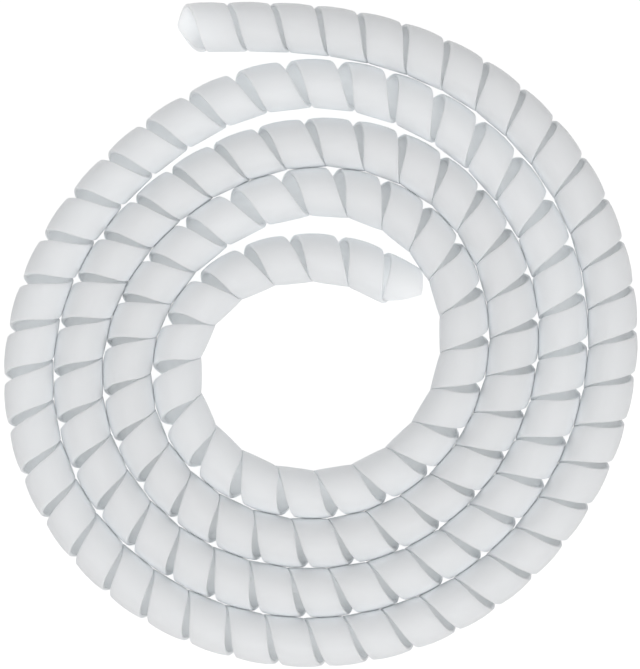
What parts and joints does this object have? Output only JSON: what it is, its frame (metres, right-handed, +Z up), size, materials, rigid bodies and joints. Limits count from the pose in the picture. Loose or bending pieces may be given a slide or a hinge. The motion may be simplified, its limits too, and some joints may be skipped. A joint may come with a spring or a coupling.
{
  "type": "spiral cable wrap",
  "caption": "Translucent white plastic tube slit helically along its whole length, wound into a flat coil, for bundling cables.",
  "frame": {"origin": "middle of the coil's footprint, on the floor that it lies on", "axes": "+Z up through the flat coil, +Y along its longer side, +X across it"},
  "size_m": [0.2308, 0.2418, 0.0174],
  "materials": {
    "spiral_wrap": "smooth, slightly waxy, translucent white polyethylene"
  },
  "bodies": {
    "root": {"spiral_wrap": "spiral_wrap"}
  },
  "joints": []
}
